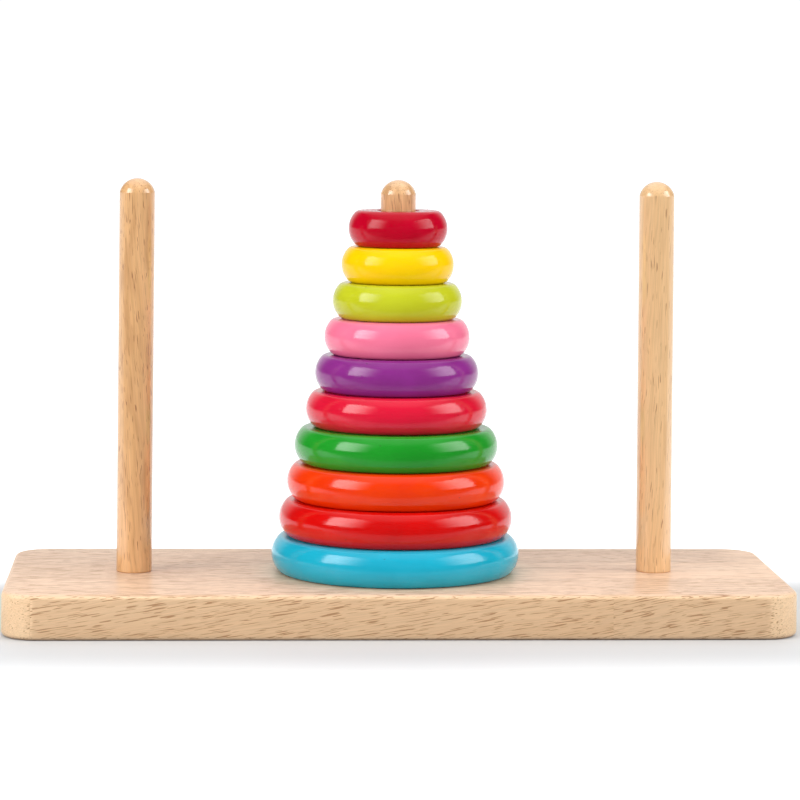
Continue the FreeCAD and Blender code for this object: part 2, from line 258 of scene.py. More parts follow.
    def hand_over(self, out: Any, geometry: Any, material: Any) -> None:
        """Realize the instances, set their material and send them out of the group."""
        whole = self.add("GeometryNodeRealizeInstances", {0: geometry})
        done = self.add("GeometryNodeSetMaterial", {0: whole.outputs[0], "Material": material})
        self.feed(out[0], done.outputs[0])


def opaque(value: Any) -> Any:
    """A plain colour with its alpha, or a socket as it is."""
    if isinstance(value, Socket) or len(value) == 4:
        return value
    return (*value, 1.0)


def new_group(name: str, kind: str, inputs: dict[str, Any], outputs: dict[str, str]
              ) -> tuple[NodeMaker, Any, Any]:
    """Make a node group with named sockets.

    Args:
        name: the group's name.
        kind: Shader or Geometry.
        inputs: each input's default, or its type's name where it has no default.
        outputs: each output's type.

    Returns:
        The node maker, what the group is given and what it hands out.
    """
    tree = bpy.data.node_groups.new(name, kind + "NodeTree")
    kinds = {float: "Float", int: "Int", tuple: "Color"}
    for label, default in inputs.items():
        bare = isinstance(default, str)
        sort = default if bare else kinds[type(default)]
        socket = tree.interface.new_socket(label, in_out="INPUT", socket_type="NodeSocket" + sort)
        if not bare:
            socket.default_value = default
    for label, sort in outputs.items():
        tree.interface.new_socket(label, in_out="OUTPUT", socket_type="NodeSocket" + sort)
    maker = NodeMaker(tree)
    return maker, maker.add("NodeGroupInput").outputs, maker.add("NodeGroupOutput").inputs


# ---------------- shader groups


def rubberwood_group() -> Tree:
    """Rubberwood with its fibres along X: tone, fibres, pores and their relief.

    Returns:
        The group, with outputs Colour, Roughness and Height.
    """
    n, given, out = new_group(
        "rubberwood", "Shader",
        {"Vector": "Vector", "Pale": (0.8, 0.55, 0.35, 1.0), "Tan": (0.6, 0.38, 0.2, 1.0),
         "Pore": (0.3, 0.15, 0.07, 1.0), "Figure": 0.5, "Pore Amount": 0.5,
         "Long Streaks": 0.0, "Waviness": 0.002},
        {"Colour": "Color", "Roughness": "Float", "Height": "Float"})
    place = given["Vector"]

    # The fibres wander a little from a straight line.
    sway = n.add("ShaderNodeTexNoise",
                 {"Vector": n.vector("MULTIPLY", place, (38.0, 60.0, 60.0)),
                  "Scale": 1.0, "Detail": 1.5})
    push = n.vector("SUBTRACT", sway.outputs["Color"], (0.5, 0.5, 0.5))
    wood = n.vector("ADD", place, n.scaled(push, given["Waviness"]))

    broad = n.stretched(wood, 5.0, 70.0, 3.0)
    streak = n.stretched(wood, 20.0, 520.0, 3.0, 0.6)
    fibre = n.stretched(wood, 60.0, 2400.0, 2.0, 0.6)
    tone = n.plus(n.ramp(broad, 0.3, 0.7, 0.0, 0.55), n.ramp(streak, 0.3, 0.7, 0.0, 0.45))
    shade = n.times(tone, given["Figure"], clamp=True)
    body = n.mix(shade, given["Pale"], given["Tan"])
    body = n.mix(1.0, body, n.grey(n.ramp(fibre, 0.3, 0.72, 1.10, 0.93)), "MULTIPLY")

    # On a flat-sawn face the pores run together into long thin streaks.
    lines = n.stretched(wood, 42.0, 270.0, 1.0, 0.6)
    faint = n.times(n.ramp(lines, 0.5, 0.72, 0.0, 0.55), given["Long Streaks"])
    body = n.mix(faint, body, n.mix(0.45, given["Tan"], given["Pore"]))

    # Open pores: short dark dashes, a little denser in some bands than in others.
    dashes = n.stretched(wood, 140.0, 3200.0, 0.0)
    crowd = n.stretched(wood, 40.0, 420.0)
    level = n.plus(n.math("MULTIPLY_ADD", given["Pore Amount"], -0.16, 0.738),
                   n.ramp(crowd, 0.3, 0.7, 0.012, -0.012))
    pores = n.ramp(n.minus(dashes, level), -0.02, 0.04)
    colour = n.mix(n.times(pores, 0.9), body, given["Pore"])

    height = n.minus(n.times(fibre, 0.15), pores)
    rough = n.plus(n.times(pores, 0.15), n.ramp(streak, 0.3, 0.7, 0.40, 0.48))
    n.hand_out(out, Colour=colour, Roughness=rough, Height=height)
    return n.tree


def staves_group() -> Tree:
    """Staves of finger-jointed blocks, glued edge to edge, with the staves along X.

    Returns:
        The group. Vector is each block's own place in the wood, Tone is a number of its
        own from 0 to 1, and Seam marks the glue lines.
    """
    n, given, out = new_group(
        "jointed_staves", "Shader",
        {"Vector": "Vector", "Stave Width": 0.0387, "Stave Start": 0.058,
         "Block Length": 0.217, "Block Start": 0.134, "Finger Length": 0.009,
         "Finger Pitch": 0.0038, "Slope": 0.16, "Upright": 1.0, "Seam Width": 0.00018},
        {"Vector": "Vector", "Tone": "Float", "Seam": "Float"})
    parts = n.split(given["Vector"])
    along, across = parts["X"], parts["Y"]
    across_staves = n.over(n.plus(across, given["Stave Start"]), given["Stave Width"])
    stave = n.math("FLOOR", n.plus(across_staves, 0.0001))
    zigzag = n.math("PINGPONG", across, n.times(given["Finger Pitch"], 0.5))
    steep = n.over(given["Finger Length"], given["Finger Pitch"])
    reach = n.math("MULTIPLY_ADD", zigzag, n.times(steep, 2.0), n.plus(along, given["Block Start"]))
    along_blocks = n.math("MULTIPLY_ADD", stave, 0.37, n.over(reach, given["Block Length"]))
    block = n.math("FLOOR", along_blocks)
    number = n.math("MULTIPLY_ADD", stave, 5.31, n.times(block, 2.17))
    own = n.add("ShaderNodeTexWhiteNoise", {"W": number}, noise_dimensions="1D")
    shift = n.scaled(own.outputs["Color"], 3.0)
    rise = n.times(n.math("MULTIPLY_ADD", own.outputs["Value"], 0.5, 0.7),
                   n.times(given["Slope"], given["Upright"]))
    sheared = n.minus(parts["Z"], n.times(along, rise))
    turned = n.add("ShaderNodeCombineXYZ", {"X": along, "Y": across, "Z": sheared}).outputs[0]

    def near_whole(value: Any, unit: Any) -> Socket:
        """How near a value is to a whole number, as a thin line of the seam's width."""
        off = n.math("ABSOLUTE", n.minus(value, n.math("ROUND", value)))
        wide = n.over(given["Seam Width"], unit)
        return n.minus(1.0, n.over(off, wide), clamp=True)

    butt = near_whole(along_blocks, n.over(given["Block Length"], 2.0))
    edge = near_whole(across_staves, given["Stave Width"])
    n.hand_out(out, Vector=n.vector("ADD", turned, shift), Tone=own.outputs["Value"],
               Seam=n.math("MAXIMUM", butt, edge))
    return n.tree


def paint_group() -> Tree:
    """Gloss paint over wood: cloudy colour, grain showing through, and specks.

    Returns:
        The group, with outputs Colour, Roughness and Height.
    """
    n, given, out = new_group(
        "paint_over_wood", "Shader",
        {"Vector": "Vector", "Colour": (0.5, 0.1, 0.1, 1.0), "Deep": (0.4, 0.05, 0.05, 1.0)},
        {"Colour": "Color", "Roughness": "Float", "Height": "Float"})
    place = given["Vector"]
    cloud = n.noise(place, 55.0, 3.0, 0.55)
    grain = n.stretched(place, 70.0, 900.0, 2.0, 0.6)
    swell = n.noise(place, 130.0, 1.0)
    specks = n.add("ShaderNodeTexVoronoi",
                   {"Vector": n.vector("MULTIPLY", place, (260.0, 520.0, 520.0)),
                    "Scale": 1.0, "Randomness": 1.0})
    rare = n.add("ShaderNodeSeparateColor", {0: specks.outputs["Color"]}).outputs[0]
    speck = n.times(n.ramp(specks.outputs["Distance"], 0.05, 0.16, 1.0, 0.0),
                    n.ramp(rare, 0.965, 0.975))

    base = n.mix(n.ramp(cloud, 0.32, 0.7), given["Colour"], given["Deep"])
    base = n.mix(n.times(n.ramp(grain, 0.55, 0.75), 0.12), base, given["Deep"])
    colour = n.mix(n.times(speck, 0.55), base, (0.03, 0.02, 0.02))
    brushing = n.stretched(place, 1300.0, 1300.0, 1.0, 0.6)
    fine = n.math("MULTIPLY_ADD", brushing, 0.14, n.times(grain, 0.14))
    rough = n.ramp(n.math("MULTIPLY_ADD", cloud, 0.4, grain), 0.5, 0.95, 0.09, 0.20)
    height = n.minus(n.plus(fine, swell), n.times(speck, 0.3))
    n.hand_out(out, Colour=colour, Roughness=rough, Height=height)
    return n.tree


# ---------------- finishes


def start_material(name: str) -> tuple[Material, NodeMaker]:
    """An empty node material and its node maker."""
    material = bpy.data.materials.new(name)
    material.use_nodes = True
    material.node_tree.nodes.clear()
    return material, NodeMaker(material.node_tree)


@dataclass(frozen=True)
class WoodFinish:
    """Clear-lacquered rubberwood on one piece."""

    name: str
    grain: Grain
    pale: Colour
    tan: Colour
    pore: Colour = (0.34, 0.155, 0.07)
    figure: float = 0.6
    pores: float = 0.5
    long_streaks: float = 0.0
    waviness: float = 0.002
    tilt: float = 0.0
    offset: Point3 = (0.0, 0.0, 0.0)
    coat: float = 1.0
    coat_roughness: float = 0.12
    coat_index: float = 1.65
    relief: float = 0.08 * MM
    # Painted light: a tint that makes up- and down-facing faces darker and cooler, standing in for
    # shade and a pale reflection.
    flat_face_painted_light: Colour = (0.885, 0.885, 1.0)

    def place(self, n: NodeMaker) -> Socket:
        """Where each point lies in the wood, with the fibres along X."""
        spot = n.spot()
        if self.grain is Grain.ALONG_BOARD:
            return spot
        turn = (0.0, math.radians(90.0 + self.tilt), 0.0)
        return n.add("ShaderNodeMapping", {"Vector": spot, "Location": self.offset,
                                           "Rotation": turn}).outputs[0]

    def material(self, wood: Tree, staves: Tree | None = None) -> Material:
        """Build the material.

        Args:
            wood: the shared rubberwood group.
            staves: the group of jointed staves, for a piece that is glued up from them.

        Returns:
            The finished material.
        """
        material, n = start_material(self.name)
        spot = self.place(n)
        look = n.add("ShaderNodeGroup", {
            "Pale": opaque(self.pale), "Tan": opaque(self.tan), "Pore": opaque(self.pore),
            "Figure": self.figure, "Pore Amount": self.pores, "Waviness": self.waviness,
            "Long Streaks": self.long_streaks}, node_tree=wood)
        colour = look.outputs["Colour"]
        if staves:
            spot, colour = self.glue_up(n, look, staves, spot)
        n.feed(look.inputs["Vector"], spot)
        bump = n.add("ShaderNodeBump", {"Strength": 0.35, "Distance": self.relief,
                                        "Height": look.outputs["Height"]})
        shader = n.add("ShaderNodeBsdfPrincipled",
                       {"Base Color": colour, "Roughness": look.outputs["Roughness"],
                        "Normal": bump.outputs[0], "Specular IOR Level": 0.15,
                        "Coat Weight": self.coat, "Coat Roughness": self.coat_roughness,
                        "Coat IOR": self.coat_index})
        n.surface(shader)
        return material

    def glue_up(self, n: NodeMaker, look: Node, staves: Tree,
                spot: Socket) -> tuple[Socket, Socket]:
        """Make the wood one of jointed staves, each block with a tone and pores of its own.

        Args:
            n: the material's node maker.
            look: the rubberwood group's node.
            staves: the group of jointed staves.
            spot: where each point lies on the piece.

        Returns:
            Where each point lies in its block's own wood, and the wood's colour.
        """
        normal = n.split(n.add("ShaderNodeTexCoord").outputs["Normal"])
        flat = n.math("ABSOLUTE", normal["Z"])
        blocks = n.add("ShaderNodeGroup", {"Vector": spot,
                                           "Upright": n.math("LESS_THAN", flat, 0.7)},
                       node_tree=staves).outputs
        block_tone = blocks["Tone"]

        # The top and underside are flat-sawn, so they are streaked. They are also painted a little
        # darker and cooler: painted shade and a painted pale reflection, standing in for how the
        # light falls on the flat faces.
        level = n.ramp(flat, 0.4, 0.9)
        n.feed(look.inputs["Long Streaks"], level)
        plain = look.outputs["Colour"]
        colour = n.mix(level, plain, n.mix(1.0, plain, self.flat_face_painted_light, "MULTIPLY"))
        tone = n.ramp(block_tone, 0.0, 1.0, 1.04, 0.93)
        colour = n.mix(1.0, colour, n.grey(tone), "MULTIPLY")
        colour = n.mix(n.times(blocks["Seam"], 0.3), colour, self.pore)

        # Across the ends the pores are seen end on and hardly show.
        across = n.ramp(n.math("ABSOLUTE", normal["X"]), 0.1, 0.5, 0.0, 0.55)
        amount = n.ramp(block_tone, 0.0, 1.0, self.pores * 0.7, self.pores * 1.4)
        n.feed(look.inputs["Pore Amount"], n.minus(amount, across))
        n.feed(look.inputs["Waviness"],
               n.ramp(block_tone, 0.4, 1.0, self.waviness, self.waviness * 3.0))
        return blocks["Vector"], colour


@dataclass(frozen=True)
class PaintFinish:
    """Gloss paint in one colour over turned wood."""

    name: str
    colour: Colour
    deep: Colour
    turn: float
    gloss: float
    relief: float = 0.08 * MM

    def material(self, paint: Tree) -> Material:
        """Build the material.

        Args:
            paint: the shared paint group.

        Returns:
            The finished material.
        """
        material, n = start_material(self.name)
        spot = n.spot()
        mapped = n.add("ShaderNodeMapping",
                       {"Vector": spot, "Rotation": (0.0, 0.0, math.radians(self.turn)),
                        "Location": (self.turn * MM, 0.0, 0.0)}).outputs[0]
        look = n.add("ShaderNodeGroup", {
            "Vector": mapped, "Colour": opaque(self.colour), "Deep": opaque(self.deep)},
            node_tree=paint)
        bump = n.add("ShaderNodeBump", {"Strength": 1.0, "Distance": self.relief,
                                        "Height": look.outputs["Height"]})
        shader = n.add("ShaderNodeBsdfPrincipled",
                       {"Base Color": look.outputs["Colour"],
                        "Roughness": look.outputs["Roughness"],
                        "Normal": bump.outputs[0], "Specular IOR Level": self.gloss,
                        "IOR": 1.5})
        n.surface(shader)
        return material


@dataclass(frozen=True)
class SteelFinish:
    """Zinc-plated steel, as on a wood screw."""

    name: str
    colour: Colour = (0.62, 0.58, 0.50)

    def material(self) -> Material:
        """Build the material."""
        material, n = start_material(self.name)
        spot = n.spot()
        cloud = n.noise(spot, 900.0, 3.0)
        shader = n.add("ShaderNodeBsdfPrincipled",
                       {"Base Color": n.mix(n.ramp(cloud, 0.35, 0.7), self.colour,
                                            tuple(0.8 * part for part in self.colour)),
                        "Metallic": 1.0, "Roughness": n.ramp(cloud, 0.3, 0.7, 0.26, 0.42)})
        n.surface(shader)
        return material


# ---------------- mesh helpers


def new_object(name: str, data: bpy.types.ID) -> Thing:
    """Put a mesh, a lamp or a camera in the scene as an object at the origin."""
    thing = bpy.data.objects.new(name, data)
    bpy.context.scene.collection.objects.link(thing)
    return thing


def lathe(name: str, profile: Sequence[Point2], segments: int = 96,
          centre: Point2 = (0.0, 0.0), radius_at: Callable[[float, float], float] | None = None
          ) -> Mesh:
    """Turn a profile round an upright axis into a closed shell.

    Args:
        name: the mesh's name.
        profile: radius and height of each point, from the bottom to the top. A radius of
            zero closes that end.
        segments: faces round the axis.
        centre: where the axis stands.
        radius_at: an added radius for an angle and a height, if the piece isn't true.

    Returns:
        The mesh, with its faces outwards.
    """
    bm = bmesh.new()
    rows = []
    for radius, height in profile:
        if radius == 0.0:
            rows.append([bm.verts.new((*centre, height))])
            continue
        row = []
        for step in range(segments):
            angle = math.tau * step / segments
            reach = radius + (radius_at(angle, height) if radius_at else 0.0)
            row.append(bm.verts.new((centre[0] + reach * math.cos(angle),
                                     centre[1] + reach * math.sin(angle), height)))
        rows.append(row)
    skin(bm, rows)
    return keep_mesh(bm, bpy.data.meshes.new(name))


def skin(bm: bmesh.types.BMesh, rows: Sequence[Sequence[bmesh.types.BMVert]]) -> None:
    """Join closed rows of points with faces. A row of a single point makes a tip."""
    for low, high in zip(rows, rows[1:]):
        count = max(len(low), len(high))
        for step in range(count):
            after = (step + 1) % count
            if len(low) == 1:
                bm.faces.new((low[0], high[after], high[step]))
            elif len(high) == 1:
                bm.faces.new((low[step], low[after], high[0]))
            else:
                bm.faces.new((low[step], low[after], high[after], high[step]))


def keep_mesh(bm: bmesh.types.BMesh, mesh: Mesh) -> Mesh:
    """Turn a workspace's faces outwards, write them to a mesh and free the workspace."""
    bmesh.ops.recalc_face_normals(bm, faces=bm.faces)
    bm.to_mesh(mesh)
    bm.free()
    return mesh


def smooth(mesh: Mesh, crease: float = 28.0) -> None:
    """Shade smooth, and keep edges sharper than the crease angle in degrees."""
    mesh.shade_smooth()
    mesh.set_sharp_from_angle(angle=math.radians(crease))


def arc_points(centre: Point2, radius: float, start: float, end: float, steps: int) -> list[Point2]:
    """Points along an arc.

    Args:
        centre: the arc's centre.
        radius: its radius.
        start: its first angle in degrees.
        end: its last angle in degrees.
        steps: how many pieces it is cut into.

    Returns:
        The points, both ends among them.
    """
    points = []
    for step in range(steps + 1):
        angle = math.radians(start + (end - start) * step / steps)
        points.append((centre[0] + radius * math.cos(angle), centre[1] + radius * math.sin(angle)))
    return points


def cut_away(solid: Thing, cutters: Iterable[Mesh]) -> None:
    """Cut each cutter's volume out of a solid and drop the cutters.

    Args:
        solid: the object that is cut. Its mesh is replaced.
        cutters: closed meshes in the same place as the solid.
    """
    for cutter_mesh in cutters:
        cutter = new_object("cutter", cutter_mesh)
        modifier = solid.modifiers.new("cut", "BOOLEAN")
        modifier.operation = "DIFFERENCE"
        modifier.solver = "EXACT"
        modifier.object = cutter
        bake_modifiers(solid)
        bpy.data.objects.remove(cutter)


def bake_modifiers(thing: Thing) -> None:
    """Replace an object's mesh with what its modifiers make, and remove them."""
    graph = bpy.context.evaluated_depsgraph_get()
    graph.update()
    made = bpy.data.meshes.new_from_object(thing.evaluated_get(graph), depsgraph=graph)
    thing.modifiers.clear()
    thing.data = made


def dress(thing: Thing, material: Material, body: str, nodes: Sequence[str]) -> None:
    """Give a piece its material and its body, and hide the nodes that it stands for."""
    thing.data.materials.clear()
    thing.data.materials.append(material)
    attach(thing, body)
    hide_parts(*nodes)
    log.info("%s: %d faces on %s", thing.name, len(thing.data.polygons), body)


# ---------------- the stand


@dataclass
class Board:
    """The rounded board, with its peg sockets and screw seats."""

    finish: WoodFinish
    corner_radius: float = 13.5 * MM
    edge_radius: float = 2.0 * MM
    socket_radius: float = 6.05 * MM
    socket_depth: float = 12.0 * MM
    seat_play: float = 0.05 * MM
    seat_step: float = 0.06 * MM
    seat_share: float = 0.875
    corner_steps: int = 20
    edge_steps: int = 6
    node: str = "base_board"

    def outline(self, inset: float) -> list[Point2]:
        """The board's outline seen from above, drawn in by a distance."""
        low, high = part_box(self.node)
        half_x, half_y = (high.x - low.x) / 2, (high.y - low.y) / 2
        turn = self.corner_radius
        points = []
        for start, side_x, side_y in ((0, 1, 1), (90, -1, 1), (180, -1, -1), (270, 1, -1)):
            centre = (side_x * (half_x - turn), side_y * (half_y - turn))
            points += arc_points(centre, turn - inset, start, start + 90, self.corner_steps)
        return points

    def shell(self) -> Mesh:
        """The board's solid before any hole is cut."""
        low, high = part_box(self.node)
        round_over = self.edge_radius
        rows = [(round_over * (1 - math.cos(angle)), round_over * (1 - math.sin(angle)))
                for angle in (math.radians(90 * step / self.edge_steps)
                              for step in range(self.edge_steps + 1))]
        lower = [(inset, low.z + rise) for inset, rise in reversed(rows)]
        upper = [(inset, high.z - rise) for inset, rise in rows]
        bm = bmesh.new()
        loops = []
        for inset, height in lower + upper:
            loops.append([bm.verts.new((x, y, height)) for x, y in self.outline(inset)])
        skin(bm, loops)
        bm.faces.new(list(reversed(loops[0])))
        bm.faces.new(loops[-1])
        return keep_mesh(bm, bpy.data.meshes.new(self.node))

    def hole_cutters(self, screw: "Screws") -> list[Mesh]:
        """The waste of each socket and screw seat.

        Args:
            screw: the screws that the seats are cut for.

        Returns:
            One closed mesh for each hole.
        """
        low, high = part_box(self.node)
        over = 1.0 * MM
        mouth, bore = screw.head_radius + self.seat_play, screw.hole_radius
        rim_top = low.z + screw.inset + screw.rim
        floor = high.z - self.socket_depth
        socket = [(0.0, floor), (self.socket_radius, floor),
                  (self.socket_radius, high.z + over), (0.0, high.z + over)]
        seat = [(0.0, low.z - over), (mouth, low.z - over), (mouth, rim_top - self.seat_step),
                (bore, rim_top + screw.cone * self.seat_share), (bore, floor + over),
                (0.0, floor + over)]
        cutters = []
        for place in Place:
            axis = peg_axis(place)
            cutters += [lathe("socket", socket, 72, axis), lathe("seat", seat, 48, axis)]
        return cutters

    def build(self, wood: Tree, staves: Tree, screws: "Screws") -> Thing:
        """Make the finished board.

        Args:
            wood: the shared rubberwood group.
            staves: the group of jointed staves.
            screws: the screws driven up through it.

        Returns:
            The board's object.
        """
        thing = new_object("board", self.shell())
        cut_away(thing, self.hole_cutters(screws))
        smooth(thing.data)
        dress(thing, self.finish.material(wood, staves), "stand", [self.node])
        return thing


def peg_axis(place: Place) -> Point2:
    """Where a peg's axis stands on the board."""
    low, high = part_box("peg_" + place.value)
    return ((low.x + high.x) / 2, (low.y + high.y) / 2)


@dataclass
class Peg:
    """One round-tipped dowel."""

    place: Place
    finish: WoodFinish
    dome_radius: float = 7.0 * MM
    tenon_radius: float = 6.0 * MM
    tenon_chamfer: float = 0.8 * MM
    shoulder_chamfer: float = 0.3 * MM
    segments: int = 96
    wall_steps: int = 24
    dome_steps: int = 16
    crease: float = 9.0

    def profile(self) -> list[Point2]:
        """Radius and height of the dowel's outline, from the tenon's foot to the tip."""
        low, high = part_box("peg_" + self.place.value)
        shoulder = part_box("base_board")[1].z
        radius = (high.y - low.y) / 2
        crease = high.z - self.dome_radius + math.sqrt(self.dome_radius ** 2 - radius ** 2)
        rise = math.degrees(math.asin((crease - high.z + self.dome_radius) / self.dome_radius))
        start = shoulder + self.shoulder_chamfer
        wall = [(radius, start + (crease - start) * step / self.wall_steps)
                for step in range(self.wall_steps + 1)]
        dome = arc_points((0.0, high.z - self.dome_radius), self.dome_radius, rise, 90,
                          self.dome_steps)
        return [(0.0, low.z), (self.tenon_radius - self.tenon_chamfer, low.z),
                (self.tenon_radius, low.z + self.tenon_chamfer), (self.tenon_radius, shoulder),
                (radius - self.shoulder_chamfer, shoulder), *wall, *dome[1:-1], (0.0, high.z)]

    def build(self, wood: Tree) -> Thing:
        """Make the finished peg.

        Args:
            wood: the shared rubberwood group.

        Returns:
            The peg's object.
        """
        node = "peg_" + self.place.value
        mesh = lathe(node, self.profile(), self.segments, peg_axis(self.place))
        smooth(mesh, self.crease)
        thing = new_object("dowel_" + self.place.value, mesh)
        dress(thing, self.finish.material(wood), "stand", [node])
        return thing


@dataclass
class Screws:
    """The three wood screws, placed by a Geometry Nodes tree."""

    finish: SteelFinish
    head_radius: float = 4.0 * MM
    rim: float = 0.3 * MM
    cone: float = 2.4 * MM
    inset: float = 0.5 * MM
    shank_radius: float = 2.0 * MM
    core_radius: float = 1.35 * MM
    length: float = 30.0 * MM
    point: float = 4.0 * MM
    pitch: float = 1.8 * MM
    hole_radius: float = 2.25 * MM
    plain_shank: float = 8.0 * MM
    run_in: float = 0.5 * MM
    rim_bevel: Point2 = (0.2 * MM, 0.15 * MM)
    thread_steps: int = 110
    ridge_slope: float = 5.0
    recess_arm: Point2 = (2.2 * MM, 0.42 * MM)
    recess_depth: float = 1.8 * MM

    def blank(self) -> Thing:
        """One screw standing head down on the origin, with its thread."""
        thread_start = self.rim + self.cone + self.plain_shank
        inwards, upwards = self.rim_bevel
        rows = [(0.0, 0.0), (self.head_radius - inwards, 0.0), (self.head_radius, upwards),
                (self.head_radius, self.rim), (self.shank_radius, self.rim + self.cone),
                (self.shank_radius, thread_start - self.run_in)]
        for step in range(self.thread_steps + 1):
            height = thread_start + (self.length - thread_start) * step / self.thread_steps
            left = self.length - height
            taper = min(1.0, left / self.point)
            rows.append((self.core_radius * taper if left > 1e-6 else 0.0, height))

        def thread(angle: float, height: float) -> float:
            """The thread's rise above the core at an angle and a height."""
            if height < thread_start:
                return 0.0
            phase = (height / self.pitch - angle / math.tau) % 1.0
            ridge = max(0.0, 1.0 - abs(phase - 0.5) * self.ridge_slope)
            taper = min(1.0, (self.length - height) / self.point)
            return (self.shank_radius - self.core_radius) * ridge * taper

        mesh = lathe("screw", rows, 40, radius_at=thread)
        thing = new_object("screw_blank", mesh)
        for across, along in (self.recess_arm, self.recess_arm[::-1]):
            recess = lathe("recess", [(0.0, -1 * MM), (1.0, -1 * MM), (1.0, self.recess_depth),
                                      (0.0, self.recess_depth)], 4)
            recess.transform(Matrix.Rotation(math.radians(45), 4, "Z"))
            recess.transform(Matrix.Diagonal((across * math.sqrt(2), along * math.sqrt(2), 1, 1)))
            cut_away(thing, [recess])
        smooth(thing.data, 35.0)
        return thing

    def tree(self) -> Tree:
        """Geometry Nodes: a row of screws at an even spacing.

        Returns:
            The tree, whose inputs are Screw, Count, Spacing, Height and Material.
        """
        n, given, out = new_group(
            "screw_row", "Geometry",
            {"Geometry": "Geometry", "Screw": "Object", "Count": 3, "Spacing": 0.1,
             "Height": 0.0, "Material": "Material"}, {"Geometry": "Geometry"})
        side = n.times(given["Spacing"], n.over(n.minus(given["Count"], 1.0), -2.0))
        start = n.add("ShaderNodeCombineXYZ", {"X": side, "Z": given["Height"]})
        step = n.add("ShaderNodeCombineXYZ", {"X": given["Spacing"]})
        row = n.add("GeometryNodeMeshLine", {"Count": given["Count"],
                                             "Start Location": start.outputs[0],
                                             "Offset": step.outputs[0]})
        screw = n.add("GeometryNodeObjectInfo", {"Object": given["Screw"]})
        turn = n.add("FunctionNodeRandomValue",
                     {"Min": (0.0, 0.0, 0.0), "Max": (0.0, 0.0, 1.2), "Seed": 4},
                     data_type="FLOAT_VECTOR")
        placed = n.add("GeometryNodeInstanceOnPoints",
                       {"Points": row.outputs[0], "Instance": screw.outputs["Geometry"],
                        "Rotation": turn.outputs[0]})
        n.hand_over(out, placed.outputs[0], given["Material"])
        return n.tree

    def build(self) -> Thing:
        """Make the finished row of screws."""
        material = self.finish.material()
        blank = self.blank()
        low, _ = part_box("screw_left")
        spacing = peg_axis(Place.RIGHT)[0] - peg_axis(Place.MIDDLE)[0]
        thing = grow("wood_screws", self.tree(),
                     {"Screw": blank, "Count": 3, "Spacing": spacing, "Height": low.z,
                      "Material": material})
        bpy.data.objects.remove(blank)
        dress(thing, material, "stand", ["screw_" + place.value for place in Place])
        return thing


def grow(name: str, tree: Tree, values: dict[str, Any]) -> Thing:
    """Run a Geometry Nodes tree on a new object and keep its result as a plain mesh.

    Args:
        name: the object's name.
        tree: the Geometry Nodes tree.
        values: the tree's inputs, by name.

    Returns:
        The object, with no modifier left.
    """
    thing = new_object(name, bpy.data.meshes.new(name))
    modifier = thing.modifiers.new("grow", "NODES")
    modifier.node_group = tree
    sockets = {item.name: item.identifier for item in tree.interface.items_tree
               if item.in_out == "INPUT"}
    for label, value in values.items():
        modifier[sockets[label]] = value
    bake_modifiers(thing)
    return thing


# ---------------- the rings


